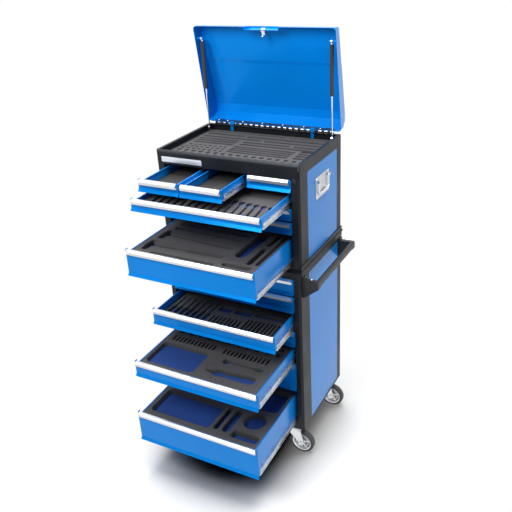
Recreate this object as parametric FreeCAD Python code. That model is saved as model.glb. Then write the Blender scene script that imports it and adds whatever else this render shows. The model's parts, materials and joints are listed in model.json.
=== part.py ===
import FreeCAD, Part
import math
import os

V = FreeCAD.Vector
os.makedirs("parts", exist_ok=True)

# All lengths in mm. Origin on the floor under the middle of the roller cabinet,
# X to the right seen from the front, Y to the back, Z up. The drawers, the lid
# and the casters stand as in the photographed pose.

# Overall sizes
WIDTH = 700.0
HALF = WIDTH / 2
CASTER_H = 155.0
TROLLEY_TOP = 1022.0
TROLLEY_FRONT = -242.5
TROLLEY_BACK = 242.5
CHEST_FRONT = -225.0
CHEST_BACK = 240.0
TRAY_FLOOR = 3.0
CHEST_BOTTOM = TROLLEY_TOP + TRAY_FLOOR
CHEST_TOP = 1507.0

# Sheet metal
SHEET = 1.5
SIDE_WALL = 3.5
PANEL_RECESS = 2.0
PANEL_T = 1.5
POST_DEPTH = 30.0
SILL_DEPTH = 22.0
TOP_ROLL = 12.0
BEND_EASE = 0.59
GAP = 1.5
EDGE_CHEST = 8.0
EDGE_TROLLEY = 10.0
TILL_FLOOR = 1449.0
RIM = 14.0

# Drawer fronts: bottom height and front height of every row, top row first
# and the width of the posts left beside them
CHEST_POST = 39.0
TROLLEY_POST = 32.0
CHEST_FACE = WIDTH - 2 * CHEST_POST
TROLLEY_FACE = WIDTH - 2 * TROLLEY_POST
CHEST_ROWS = [(1388.0, 54.5), (1324.5, 54.5), (1261.0, 54.5), (1197.5, 54.5), (1053.5, 125.0)]
TROLLEY_ROWS = [(910.0, 81.0), (820.0, 81.0), (730.0, 81.0), (640.0, 81.0), (550.0, 81.0),
                (391.0, 150.0), (203.0, 162.0)]
SMALL_GAP = 5.0
CHEST_DEPTH = 430.0
TROLLEY_DEPTH = 455.0
# How far each drawer stands open in the photographed pose
OPEN_SMALL = [198.0, 198.0, 0.0]
OPEN_CHEST = [0.0, 265.0, 0.0, 0.0, 343.5]
OPEN_TROLLEY = [0.0, 0.0, 197.0, 0.0, 373.5, 0.0, 409.5]

# Drawer boxes and slides
BOX_SHEET = 1.2
SLIDE_ROOM = 13.0
SLIDE_SHEET = 1.5
SLIDE_LIFT = 0.4
SLIDE_H_CHEST = 26.0
SLIDE_H_TROLLEY = 32.0
SLOT_START = 196.0
SLOT_END_CHEST = 30.0
SLOT_END_TROLLEY = 55.0
SLOT_H = 8.0
BOX_FLOOR = 5.0
BOX_DROP = 9.0
LIP_OUT = 9.0
LIP_H = 13.0
FACE_RETURN = 14.0

# Drawer openings: what the cabinet shows above and below the rows of drawers
SILL_ROOM = 8.0
HEAD_ROOM = 3.0
HEM_W = 4.0
HEM_H = 2.0

# Aluminium pulls: distance in front of the drawer face and below its top edge, point by point
PULL_END = 9.0
PULL_PROFILE = [(-3.0, 0.0), (4.0, 0.0), (12.0, 9.0), (12.0, 10.2), (11.2, 10.6), (11.2, 11.8), (12.0, 12.2),
                (12.0, 21.0), (9.8, 22.5), (9.8, 13.0), (2.2, 10.5), (2.2, 26.5), (0.0, 26.5), (0.0, 1.5),
                (-1.5, 1.5), (-1.5, 6.0), (-3.0, 6.0)]

# Foam liners
FOAM_GAP = 1.5
FOAM_SKIN = 3.0
FOAM_DROP = 3.0
CHEST_FOAM_DEEP = 34.0
# Roller cabinet liners: row, distance below the rim, pocket depth, pockets in each row
TROLLEY_FOAMS = [(3, 36.0, 20.0, (12, 12)), (5, FOAM_DROP, 34.0, (1, 1, 1, 14)), (7, FOAM_DROP, 44.0, (3, 2))]
TILL_THICK = 25.0
TILL_DEEP = 15.0
POCKET_ROUND = 0.3
POCKET_CORNER = 8.0
POCKET_WALL = 8.0
POCKET_EDGE = 12.0

# Moulded top tray of the roller cabinet, round the foot of the chest
TRAY_GAP = 0.5
TRAY_WALL = 4.0
TRAY_SKIRT = 22.0
TRAY_RIM = 28.0
TRAY_FLANGE = 6.0
TRAY_FLANGE_OUT = 4.0
TRAY_FRONT = TROLLEY_FRONT + 14.0

# Lid and its hinge
LID_AXIS_Y = 245.0
LID_AXIS_Z = 1512.0
LID_OPEN = 81.3
LID_RIM = CHEST_TOP + 2.0
LID_OVER = 2.0
LID_HALF = HALF + LID_OVER
LID_FRONT = -227.0
LID_BACK = 240.0
LID_SHEET = 1.5
# Bends of the closed lid: distance from the front or back edge, height over the rim
LID_KNEE = (10.0, 46.0)
LID_BROW = (24.0, 55.0)
LID_CREST = (62.0, 84.0)
LID_SHOULDER = (24.0, 78.0)
LID_BACK_H = 32.0
LID_CORNER = 18.0
LID_DRAFT = (16.0, 120.0)
# Step pressed across the lid: Y and height over the rim of its two creases
SWAGE = ((-55.0, 65.0), (-38.0, 69.0))
GRIP_HALF = 86.0
GRIP_SLOPE = 20.0
GRIP_TOP = 34.0
GRIP_DEEP = 14.0
KNUCKLE_R = 4.5
PIN_R = 1.8
RUN = 0.05
HINGE_IN = 35.0
HINGE_HALF = HALF - HINGE_IN
KNUCKLE_STEP = 30.0
KNUCKLE_GAP = 0.8
LEAF_LOW = 34.0
LEAF_HIGH = 26.0
LEAF_NEAR = 1.5
KNUCKLE_WEB = 5.5

# Gas struts
STRUT_X = LID_HALF - 28.0
STRUT_LOW = (198.0, 1497.0)
STRUT_HIGH = (197.0, 1920.0)
TUBE_R = 9.0
ROD_R = 3.4
EYE_R = 8.0
EYE_W = 8.0
STUD_R = 3.5
TUBE_LEN = 232.0
TUBE_CLOSED = 27.0
NECK_R = 4.5
STUD_HEAD = 6.0
STRUT_TRAVEL = 60.0

# Casters
WHEEL_R = 62.5
WHEEL_W = 32.0
AXLE_R = 5.0
CASTER_IN = 60.0
CASTER_X = HALF - CASTER_IN
CASTER_Y = (-212.0, 185.0)
TRAIL = 38.0
KING_R = 6.0
PLATE_HALF = (47.0, 29.0)
PLATE_T = 4.0
CROWN_HALF = 27.0
CROWN_TOP = 141.0
CROWN_LOW = 132.0
LEG_T = 3.0
LEG_FOOT_R = 14.0
HUB_R = 13.0
TYRE_H = 14.0
PEDAL_BACK = 20.0
PEDAL_PIN = 3.0
PEDAL_HALF = 15.0

# Push handle and lift handles
PUSH_OUT = 65.0
PUSH_DROP = 57.0
PUSH_X = HALF + PUSH_OUT
PUSH_Z = TROLLEY_TOP - PUSH_DROP
PUSH_Y = (-206.0, 229.0)
BRACKET_W = 22.0
BAR_W = 20.0
BAR_H = 34.0
BAR_ROUND = 8.0
FOOT_T = 8.0
FOOT_TOP = TROLLEY_TOP - TRAY_SKIRT - 2.0
LIFT_Y = 16.0
LIFT_Z = 1346.0
LIFT_HALF = (75.0, 50.0)
LIFT_PLATE_T = 2.0
WIRE_R = 3.5
BAIL_HALF = 52.0
BAIL_DROP = 58.0
BAIL_BEND = 12.0
EAR_OUT = 9.0
EAR_R = 7.0
EAR_W = 8.0
BAIL_GRIP = (5.5, 72.0)


def box(x0, x1, y0, y1, z0, z1):
    return Part.makeBox(x1 - x0, y1 - y0, z1 - z0, V(x0, y0, z0))


def prism(points, vector):
    wire = Part.makePolygon([V(*p) for p in points] + [V(*points[0])])
    return Part.Face(wire).extrude(V(*vector))


def prism_x(yz, x0, x1):
    return prism([(x0, y, z) for y, z in yz], (x1 - x0, 0, 0))


def prism_y(xz, y0, y1):
    return prism([(x, y0, z) for x, z in xz], (0, y1 - y0, 0))


def prism_z(xy, z0, z1):
    return prism([(x, y, z0) for x, y in xy], (0, 0, z1 - z0))


def rod(x, y, z, direction, radius, length):
    return Part.makeCylinder(radius, length, V(x, y, z), V(*direction))


def join(shapes):
    return shapes[0].multiFuse(shapes[1:]).removeSplitter()


def group(shapes):
    return Part.makeCompound(shapes)


def mirrored(shape):
    return shape.mirror(V(0, 0, 0), V(1, 0, 0))


def turned(shape, degrees):
    copy = shape.copy()
    copy.rotate(V(0, LID_AXIS_Y, LID_AXIS_Z), V(-1, 0, 0), degrees)
    return copy


def save(name, shape):
    shape.exportStep("parts/" + name + ".step")


def rounded_rect_yz(x, y0, y1, z0, z1, radius, depth):
    plate = box(x, x + depth, y0, y1, z0, z1)
    edges = [e for e in plate.Edges if abs(e.Vertexes[0].X - e.Vertexes[1].X) > depth / 2]
    return plate.makeFillet(radius, edges)


# Cabinets: folded sheet body with front posts, rear uprights and aprons
def footprint(inset, front, back, edge):
    x = HALF - inset
    yf = front + inset
    c = edge - inset * BEND_EASE
    return [(-x, yf + c), (-x + c, yf), (x - c, yf), (x, yf + c), (x, back - inset), (-x, back - inset)]


def side_recess(window, extra):
    y0, y1, z0, z1 = window
    right = rounded_rect_yz(HALF - PANEL_RECESS, y0 - extra, y1 + extra, z0 - extra, z1 + extra,
                            6.0 + extra, PANEL_RECESS + 1.0)
    return [right, mirrored(right)]


def top_roll(front, top, radius):
    # what is cut away to round the front top edge over
    corner = box(-WIDTH, WIDTH, front - 1, front + radius, top - radius, top + 1)
    return corner.cut(rod(-WIDTH, front + radius, top - radius, (1, 0, 0), radius, 2 * WIDTH))


def cabinet(front, back, bottom, top, edge, half_face, open_bottom, open_top, ceiling, window):
    outer = prism_z(footprint(0.0, front, back, edge), bottom, top)
    x = HALF - SIDE_WALL
    inner_edge = edge - SHEET * BEND_EASE
    inner = prism_z([(-x, front + inner_edge), (-x + inner_edge - SIDE_WALL + SHEET, front + SHEET),
                     (x - inner_edge + SIDE_WALL - SHEET, front + SHEET), (x, front + inner_edge),
                     (x, back - SHEET), (-x, back - SHEET)], bottom + SHEET, ceiling)
    mouth_half = half_face + GAP
    mouth = box(-mouth_half, mouth_half, front - 1, front + SHEET + 1, open_bottom, open_top)
    body = outer.cut([inner, mouth] + side_recess(window, 0.3))
    folds = []
    for s in (-1, 1):
        a = s * mouth_half
        b = s * (mouth_half + SHEET)
        folds.append(box(min(a, b), max(a, b), front + SHEET, front + POST_DEPTH, bottom + SHEET, ceiling))
        folds.append(box(min(a, b), max(a, b), back - POST_DEPTH, back - SHEET, bottom + SHEET, ceiling))
    folds.append(box(-mouth_half, mouth_half, front + SHEET, front + SILL_DEPTH, open_bottom - SHEET, open_bottom))
    return join([body] + folds)


CHEST_WINDOW = (-143.0, 193.0, 1042.0, 1455.0)
TROLLEY_WINDOW = (-144.0, 203.0, 168.0, 984.0)

chest = cabinet(CHEST_FRONT, CHEST_BACK, CHEST_BOTTOM, CHEST_TOP, EDGE_CHEST, CHEST_FACE / 2,
                CHEST_ROWS[-1][0] - SILL_ROOM, sum(CHEST_ROWS[0]) + HEAD_ROOM, TILL_FLOOR, CHEST_WINDOW)
till_room = box(-HALF + SIDE_WALL, HALF - SIDE_WALL, CHEST_FRONT + SHEET, CHEST_BACK - SHEET,
                TILL_FLOOR + SHEET, CHEST_TOP - SHEET)
till_room = till_room.cut(top_roll(CHEST_FRONT + SHEET, CHEST_TOP - SHEET, TOP_ROLL - SHEET))
till_mouth = box(-HALF + RIM, HALF - RIM, CHEST_FRONT + RIM, CHEST_BACK - RIM, CHEST_TOP - 2 * SHEET, CHEST_TOP + 1)
chest = chest.cut([till_room, till_mouth, top_roll(CHEST_FRONT, CHEST_TOP, TOP_ROLL)])
SMALL_W = (CHEST_FACE - 2 * SMALL_GAP) / 3
SMALL_X = [-(SMALL_W + SMALL_GAP), 0.0, SMALL_W + SMALL_GAP]
DIVIDER_X = SMALL_W / 2 + SMALL_GAP / 2
dividers = [box(s * DIVIDER_X - SHEET / 2, s * DIVIDER_X + SHEET / 2, CHEST_FRONT + 3.0, CHEST_BACK - SHEET,
                CHEST_ROWS[0][0] - 4.0, TILL_FLOOR) for s in (-1, 1)]
stud_length = HALF - SIDE_WALL - STRUT_X + STUD_HEAD
studs = [rod(s * (HALF - SIDE_WALL), STRUT_LOW[0], STRUT_LOW[1], (-s, 0, 0), STUD_R, stud_length)
         for s in (-1, 1)]
chest = join([chest] + dividers + studs)
save("chest_cabinet", chest)

trolley = cabinet(TROLLEY_FRONT, TROLLEY_BACK, CASTER_H, TROLLEY_TOP, EDGE_TROLLEY, TROLLEY_FACE / 2,
                  TROLLEY_ROWS[-1][0] - SILL_ROOM, sum(TROLLEY_ROWS[0]) + HEAD_ROOM, TROLLEY_TOP - SHEET,
                  TROLLEY_WINDOW)
save("trolley_cabinet", trolley)


def tray_block(grow, z0, z1):
    # plan of the top tray, grown outwards at the sides and the back
    side = HALF + TRAY_GAP + grow
    return box(-side, side, TRAY_FRONT, TROLLEY_BACK + TRAY_GAP + grow, z0, z1)


tray_wall = tray_block(TRAY_WALL, TROLLEY_TOP - TRAY_SKIRT, TROLLEY_TOP + TRAY_RIM)
tray_flange = tray_block(TRAY_WALL + TRAY_FLANGE_OUT, CHEST_BOTTOM, CHEST_BOTTOM + TRAY_FLANGE)
tray_inside = tray_block(0.0, TROLLEY_TOP - TRAY_SKIRT - 1, TROLLEY_TOP + TRAY_RIM + 1)
# No skirt behind, so that the cabinet can stand flat against a wall
rear_skirt = box(-HALF, HALF, TROLLEY_BACK, TROLLEY_BACK + TRAY_GAP + TRAY_WALL + 1,
                 TROLLEY_TOP - TRAY_SKIRT - 1, TROLLEY_TOP)
tray_sides = tray_wall.fuse(tray_flange).cut([tray_inside, rear_skirt])
save("top_tray", join([tray_sides, tray_block(TRAY_WALL / 2, TROLLEY_TOP, CHEST_BOTTOM)]))

panels = []
for y0, y1, z0, z1 in (CHEST_WINDOW, TROLLEY_WINDOW):
    panel = rounded_rect_yz(HALF - PANEL_RECESS, y0, y1, z0, z1, 6.0, PANEL_T)
    panels += [panel, mirrored(panel)]
save("side_panels", group(panels))


# Slides: a channel on the cabinet and a smaller channel on the drawer box
def channel(x_web, side, y0, y1, z0, height, depth):
    # web at x_web, flanges reaching towards side
    far = x_web + side * depth
    web_far = x_web + side * SLIDE_SHEET
    web = box(min(x_web, web_far), max(x_web, web_far), y0, y1, z0, z0 + height)
    low = box(min(x_web, far), max(x_web, far), y0, y1, z0, z0 + SLIDE_SHEET)
    high = box(min(x_web, far), max(x_web, far), y0, y1, z0 + height - SLIDE_SHEET, z0 + height)
    return join([web, low, high])


def slide_height(trolley_row):
    return SLIDE_H_TROLLEY if trolley_row else SLIDE_H_CHEST


rails = []


def add_rails(xc, width, front, back, z0, trolley_row):
    height = slide_height(trolley_row)
    for s in (-1, 1):
        wall = xc + s * (width / 2 + GAP)
        if abs(abs(wall) - DIVIDER_X) < 3.0:
            wall = math.copysign(DIVIDER_X, wall) - s * SHEET / 2
        rails.append(channel(wall, -s, front + 20.0, back - 6.0, z0, height, 12.0))


# Drawers: folded front with flared lip, tray and two slide channels
def front_profile(y, z0, top):
    knee = z0 + LIP_H
    return [(y - LIP_OUT, z0), (y, knee), (y, top), (y + SHEET, top), (y + SHEET, knee - 0.8),
            (y - LIP_OUT + 1.9, z0)]


def slide_slot(x_web, side, y, z, slot_end):
    # long round-ended hole in the web of a drawer's channel
    start = y + SLOT_START
    end = y + slot_end
    x0 = x_web - side
    reach = SLIDE_SHEET + 2.0
    ends = [rod(x0, a, z, (side, 0, 0), SLOT_H / 2, reach) for a in (start, end)]
    x1 = x0 + side * reach
    return join(ends + [box(min(x0, x1), max(x0, x1), start, end, z - SLOT_H / 2, z + SLOT_H / 2)])


def drawer(xc, width, front, opened, z0, height, depth, trolley_row):
    y = front - opened
    top = z0 + height - 1.5
    half = width / 2
    slot_end = depth - (SLOT_END_TROLLEY if trolley_row else SLOT_END_CHEST)
    face = prism_x(front_profile(y, z0, top), xc - half, xc + half)
    side = half - SLIDE_ROOM
    wall_top = z0 + height - BOX_DROP
    back = y + depth
    inner = side - BOX_SHEET
    floor_z = z0 + BOX_FLOOR
    tray = box(xc - side, xc + side, y + SHEET, back, floor_z, wall_top)
    hollow = box(xc - inner, xc + inner, y + SHEET, back - BOX_SHEET, floor_z + BOX_SHEET, wall_top + 1)
    parts = [face, tray.cut(hollow)]
    for s in (-1, 1):
        a = xc + s * half
        b = a - s * SHEET
        parts.append(box(min(a, b), max(a, b), y + SHEET, y + FACE_RETURN, z0 + LIP_H, top))
        # rolled hem along the top of each side wall
        hem_out = xc + s * inner
        hem_in = hem_out - s * HEM_W
        parts.append(box(min(hem_out, hem_in), max(hem_out, hem_in), y + SHEET, back - BOX_SHEET,
                         wall_top - HEM_H, wall_top))
    shell = join(parts)
    slides = []
    h = slide_height(trolley_row)
    for s in (-1, 1):
        slide = channel(xc + s * side, s, y + FACE_RETURN + 2.0, back - 4.0, z0 + SLIDE_SHEET,
                        h - 2 * SLIDE_SHEET - SLIDE_LIFT, 11.0)
        slides.append(slide.cut(slide_slot(xc + s * side, s, y, z0 + h / 2, slot_end)))
    return group([shell] + slides)


def pull(xc, width, front, opened, z0, height):
    y = front - opened
    top = z0 + height
    half = width / 2 - PULL_END
    return prism_x([(y - out, top - down) for out, down in PULL_PROFILE], xc - half, xc + half)


def add_drawer(name, xc, width, front, opened, z0, height, depth, trolley_row):
    save(name, drawer(xc, width, front, opened, z0, height, depth, trolley_row))
    save(name.replace("drawer", "pull"), pull(xc, width, front, opened, z0, height))
    add_rails(xc, width, front, TROLLEY_BACK if trolley_row else CHEST_BACK, z0, trolley_row)


for place, x, opened in zip(("left", "middle", "right"), SMALL_X, OPEN_SMALL):
    z0, height = CHEST_ROWS[0]
    add_drawer("chest_drawer_top_" + place, x, SMALL_W, CHEST_FRONT, opened, z0, height, CHEST_DEPTH, False)
for row in range(1, 5):
    z0, height = CHEST_ROWS[row]
    add_drawer("chest_drawer_%d" % (row + 1), 0.0, CHEST_FACE, CHEST_FRONT, OPEN_CHEST[row], z0, height,
               CHEST_DEPTH, False)
for row in range(7):
    z0, height = TROLLEY_ROWS[row]
    add_drawer("trolley_drawer_%d" % (row + 1), 0.0, TROLLEY_FACE, TROLLEY_FRONT, OPEN_TROLLEY[row], z0, height,
               TROLLEY_DEPTH, True)
save("slide_rails", group(rails))


# Foam liners with moulded tool pockets
def pocket_form(pocket, top, grow):
    x0, x1, y0, y1, deep = pocket
    form = box(x0 - grow, x1 + grow, y0 - grow, y1 + grow, top - deep - grow, top + 1)
    upright = [e for e in form.Edges if abs(e.Vertexes[0].Z - e.Vertexes[1].Z) > 1]
    return form.makeFillet(min(min(x1 - x0, y1 - y0) * POCKET_ROUND, POCKET_CORNER) + grow, upright)


def foam(x_half, y0, y1, z0, thick, pockets):
    # a moulded tray: the same skin follows the top, the edge and every pocket
    top = z0 + thick
    slab = box(-x_half, x_half, y0, y1, z0, top).cut([pocket_form(p, top, 0.0) for p in pockets])
    t = FOAM_SKIN
    under = box(-x_half + t, x_half - t, y0 + t, y1 - t, z0 - 1, top - t)
    return slab.cut(under.cut([pocket_form(p, top, t) for p in pockets]))


def pocket_rows(x_half, y0, y1, counts, deep):
    # rows of equal pockets from the front to the back of a liner
    out = []
    pitch_y = (y1 - y0 - 2 * POCKET_EDGE) / len(counts)
    for i, n in enumerate(counts):
        ya = y0 + POCKET_EDGE + i * pitch_y + POCKET_WALL / 2
        pitch_x = 2 * (x_half - POCKET_EDGE) / n
        for k in range(n):
            xa = -x_half + POCKET_EDGE + k * pitch_x + POCKET_WALL / 2
            out.append((xa, xa + pitch_x - POCKET_WALL, ya, ya + pitch_y - POCKET_WALL, deep))
    return out


def drawer_foam(name, width, front, opened, z0, height, depth, below_rim, deep, counts):
    y = front - opened
    x_half = width / 2 - SLIDE_ROOM - BOX_SHEET - FOAM_GAP
    y0 = y + SHEET + FOAM_GAP
    y1 = y + depth - BOX_SHEET - FOAM_GAP
    base = z0 + BOX_FLOOR + BOX_SHEET
    thick = z0 + height - BOX_DROP - below_rim - base
    save(name, foam(x_half, y0, y1, base, thick, pocket_rows(x_half, y0, y1, counts, deep)))


drawer_foam("chest_foam_5", CHEST_FACE, CHEST_FRONT, OPEN_CHEST[4], *CHEST_ROWS[4], CHEST_DEPTH,
            FOAM_DROP, CHEST_FOAM_DEEP, (3, 2))
for row, below_rim, deep, counts in TROLLEY_FOAMS:
    drawer_foam("trolley_foam_%d" % row, TROLLEY_FACE, TROLLEY_FRONT, OPEN_TROLLEY[row - 1], *TROLLEY_ROWS[row - 1],
                TROLLEY_DEPTH, below_rim, deep, counts)
TILL_HALF = HALF - SIDE_WALL - FOAM_GAP
TILL_Y = (CHEST_FRONT + SHEET + FOAM_GAP, CHEST_BACK - SHEET - FOAM_GAP)
save("till_foam", foam(TILL_HALF, TILL_Y[0], TILL_Y[1], TILL_FLOOR + SHEET, TILL_THICK,
                       pocket_rows(TILL_HALF, TILL_Y[0], TILL_Y[1], (4, 3, 2), TILL_DEEP)))


# Lid: deep pressed pan with sloping top, drafted sides and a finger grip
def lid_solid(inset):
    drop = 20.0 if inset else 0.0
    front = LID_FRONT + inset
    back = LID_BACK - inset
    side = LID_HALF - inset
    low = LID_RIM - drop
    rim = LID_RIM - inset
    yz = [(front, low), (front, LID_RIM), (front + LID_KNEE[0], rim + LID_KNEE[1]),
          (front + LID_BROW[0], rim + LID_BROW[1])]
    yz += [(y, rim + z) for y, z in SWAGE]
    yz += [(back - LID_CREST[0], rim + LID_CREST[1]), (back - LID_SHOULDER[0], rim + LID_SHOULDER[1]),
           (back, rim + LID_BACK_H), (back, low)]
    long = prism_x(yz, -side, side)
    draft, top = LID_DRAFT[0], LID_RIM + LID_DRAFT[1]
    xz = [(-side, low), (-side, LID_RIM), (-side + draft, top), (side - draft, top), (side, LID_RIM), (side, low)]
    cross = prism_y(xz, LID_FRONT - 5, LID_BACK + 5)
    plan = box(-side, side, front, back, low, top)
    upright = [e for e in plan.Edges if abs(e.Vertexes[0].Z - e.Vertexes[1].Z) > 1]
    return long.common(cross).common(plan.makeFillet(LID_CORNER - inset, upright))


def grip_form(extra):
    low = GRIP_HALF + extra
    high = GRIP_HALF - GRIP_SLOPE + extra
    below = LID_RIM - 30
    xz = [(-low, below), (-low, LID_RIM), (-high, LID_RIM + GRIP_TOP + extra), (high, LID_RIM + GRIP_TOP + extra),
          (low, LID_RIM), (low, below)]
    return prism_y(xz, LID_FRONT - 5, LID_FRONT + GRIP_DEEP + extra)


lid_outside = lid_solid(0.0).cut(grip_form(0.0))
lid_inside = lid_solid(LID_SHEET).cut(grip_form(LID_SHEET))
lid = lid_outside.cut(lid_inside)
LID_INNER_X = LID_HALF - 5.5
lid_studs = []
rel_y = STRUT_HIGH[0] - LID_AXIS_Y
rel_z = STRUT_HIGH[1] - LID_AXIS_Z
open_cos = math.cos(math.radians(LID_OPEN))
open_sin = math.sin(math.radians(LID_OPEN))
high_closed = (LID_AXIS_Y + rel_y * open_cos - rel_z * open_sin, LID_AXIS_Z + rel_y * open_sin + rel_z * open_cos)
for s in (-1, 1):
    lid_studs.append(rod(s * (LID_INNER_X + 3.0), high_closed[0], high_closed[1], (-s, 0, 0), STUD_R + 1.5,
                         LID_INNER_X + 3.0 - STRUT_X - STUD_HEAD))
lid = join([lid] + lid_studs)
save("lid", turned(lid, LID_OPEN))


# Piano hinge: two leaves with alternating knuckles on one pin
def leaf_knuckles(first, bore):
    out = []
    n = int(2 * HINGE_HALF / KNUCKLE_STEP)
    start = -n * KNUCKLE_STEP / 2
    for k in range(first, n, 2):
        x = start + k * KNUCKLE_STEP
        knuckle = rod(x + KNUCKLE_GAP / 2, LID_AXIS_Y, LID_AXIS_Z, (1, 0, 0), KNUCKLE_R, KNUCKLE_STEP - KNUCKLE_GAP)
        if bore:
            knuckle = knuckle.cut(rod(x, LID_AXIS_Y, LID_AXIS_Z, (1, 0, 0), PIN_R + RUN, KNUCKLE_STEP))
        out.append(knuckle)
    return out


def knuckle_webs(knuckles, y0, z0, z1):
    web_back = LID_AXIS_Y - KNUCKLE_R / 2
    return [box(k.BoundBox.XMin, k.BoundBox.XMax, y0, web_back, z0, z1) for k in knuckles]


leaf_half = HINGE_HALF - KNUCKLE_GAP / 2
knuckle_room = rod(-HALF, LID_AXIS_Y, LID_AXIS_Z, (1, 0, 0), KNUCKLE_R + 0.5, 2 * HALF)
hinge_pin = rod(-leaf_half, LID_AXIS_Y, LID_AXIS_Z, (1, 0, 0), PIN_R, 2 * leaf_half)
fixed_leaf = box(-leaf_half, leaf_half, CHEST_BACK, CHEST_BACK + SHEET, LID_AXIS_Z - LEAF_LOW, LID_AXIS_Z - LEAF_NEAR)
fixed_knuckles = leaf_knuckles(0, False)
fixed_webs = knuckle_webs(fixed_knuckles, CHEST_BACK, LID_AXIS_Z - KNUCKLE_WEB, LID_AXIS_Z - 1.0)
save("hinge_leaf_fixed", join([fixed_leaf.cut(knuckle_room)] + fixed_knuckles + [hinge_pin] + fixed_webs))

moving_leaf = box(-leaf_half, leaf_half, LID_BACK, LID_BACK + SHEET, LID_AXIS_Z + LEAF_NEAR, LID_AXIS_Z + LEAF_HIGH)
moving_knuckles = leaf_knuckles(1, True)
moving_webs = knuckle_webs(moving_knuckles, LID_BACK, LID_AXIS_Z + 1.0, LID_AXIS_Z + KNUCKLE_WEB)
moving = join([moving_leaf.cut(knuckle_room)] + moving_knuckles + moving_webs)
save("hinge_leaf_lid", turned(moving, LID_OPEN))


# Gas struts: rod hung on the lower stud, tube closed around the rod
def strut(side):
    ay, az = STRUT_LOW
    by, bz = STRUT_HIGH
    length = math.hypot(by - ay, bz - az)
    uy = (by - ay) / length
    uz = (bz - az) / length
    x = side * STRUT_X
    tube_start = length - TUBE_LEN

    def along(distance, radius, span):
        return rod(x, ay + uy * distance, az + uz * distance, (0, uy, uz), radius, span)

    low_eye = rod(x - EYE_W / 2, ay, az, (1, 0, 0), EYE_R, EYE_W)
    bore_end = length - TUBE_CLOSED
    rod_part = join([low_eye, along(5.0, ROD_R, bore_end - STRUT_TRAVEL - 9.0)])
    rod_part = rod_part.cut(rod(x - EYE_W, ay, az, (1, 0, 0), STUD_R + RUN, 2 * EYE_W))
    tube = along(tube_start, TUBE_R, TUBE_LEN - 12.0)
    high_eye = rod(x - EYE_W / 2, by, bz, (1, 0, 0), EYE_R, EYE_W)
    neck = along(length - 16.0, NECK_R, 12.0)
    tube = join([tube, neck, high_eye])
    tube = tube.cut([along(tube_start - 1.0, ROD_R + RUN, bore_end - tube_start + 1.0)])
    return rod_part, tube


for label, s in (("left", -1), ("right", 1)):
    rod_part, tube = strut(s)
    save("strut_rod_" + label, rod_part)
    save("strut_tube_" + label, tube)


# Lift handles: backing plate with two ears and a swinging wire bail
LIFT_PLATE_X = HALF - PANEL_RECESS + PANEL_T
EAR_X = LIFT_PLATE_X + EAR_OUT
BAIL_Z = LIFT_Z + 30.0


def lift_plate():
    plate = rounded_rect_yz(LIFT_PLATE_X, LIFT_Y - LIFT_HALF[0], LIFT_Y + LIFT_HALF[0], LIFT_Z - LIFT_HALF[1],
                            LIFT_Z + LIFT_HALF[1], 8.0, LIFT_PLATE_T)
    parts = [plate]
    for s in (-1, 1):
        y = LIFT_Y + s * (BAIL_HALF + 9.4)
        ear = box(LIFT_PLATE_X + 1, EAR_X, y - EAR_W / 2, y + EAR_W / 2, BAIL_Z - EAR_R, BAIL_Z + EAR_R)
        parts.append(ear.fuse(rod(EAR_X, y - EAR_W / 2, BAIL_Z, (0, 1, 0), EAR_R, EAR_W)))
    bore = rod(EAR_X, LIFT_Y - LIFT_HALF[0] - 5, BAIL_Z, (0, 1, 0), WIRE_R + RUN, 2 * LIFT_HALF[0] + 10)
    return join(parts).cut(bore)


def lift_bail():
    x = EAR_X
    y0 = LIFT_Y - BAIL_HALF - 1.2
    y1 = LIFT_Y + BAIL_HALF + 1.2
    low = BAIL_Z - BAIL_DROP
    r = BAIL_BEND
    m = r * (1 - math.sqrt(0.5))
    path = Part.Wire([
        Part.makeLine(V(x, y0, BAIL_Z), V(x, y0, low + r)),
        Part.Arc(V(x, y0, low + r), V(x, y0 + m, low + m), V(x, y0 + r, low)).toShape(),
        Part.makeLine(V(x, y0 + r, low), V(x, y1 - r, low)),
        Part.Arc(V(x, y1 - r, low), V(x, y1 - m, low + m), V(x, y1, low + r)).toShape(),
        Part.makeLine(V(x, y1, low + r), V(x, y1, BAIL_Z))])
    section = Part.Wire([Part.makeCircle(WIRE_R, V(x, y0, BAIL_Z), V(0, 0, -1))])
    loop = path.makePipeShell([section], True, False)
    pins = [rod(x, y, BAIL_Z, (0, 1, 0), WIRE_R, 12.9) for y in (y0 - 12.2, y1 - 0.7)]
    balls = [Part.makeSphere(WIRE_R, V(x, y, BAIL_Z)) for y in (y0, y1)]
    grip = rod(x, LIFT_Y - BAIL_GRIP[1] / 2, low, (0, 1, 0), *BAIL_GRIP)
    return join([loop, grip] + pins + balls)


handle_plate = lift_plate()
bail = lift_bail()
save("lift_handle_plates", group([handle_plate, mirrored(handle_plate)]))
save("lift_handle_right", bail)
save("lift_handle_left", mirrored(bail))


# Push handle on the right side: two gusset brackets and an oval bar
def push_bracket(y):
    outer = PUSH_X + BAR_W / 2
    top = PUSH_Z + BAR_H / 2
    low = PUSH_Z - BAR_H / 2 - 5.0
    foot_low = low - 50.0
    xz = [(HALF, foot_low + 3), (HALF + FOOT_T, foot_low + 3), (outer - 6, low), (outer, low + 6), (outer, top - 5),
          (outer - 5, top), (HALF + FOOT_T, top), (HALF, top + 4)]
    web = prism_y(xz, y - BRACKET_W / 2, y + BRACKET_W / 2)
    foot = rounded_rect_yz(HALF, y - BRACKET_W / 2 - 3, y + BRACKET_W / 2 + 3, foot_low, FOOT_TOP, 7.0, FOOT_T)
    return join([web, foot])


def push_bar():
    bar = box(PUSH_X - BAR_W / 2, PUSH_X + BAR_W / 2, PUSH_Y[0] + BRACKET_W / 2, PUSH_Y[1] - BRACKET_W / 2,
              PUSH_Z - BAR_H / 2, PUSH_Z + BAR_H / 2)
    return bar.makeFillet(BAR_ROUND, [e for e in bar.Edges if abs(e.Vertexes[0].Y - e.Vertexes[1].Y) > BAR_W])


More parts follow.
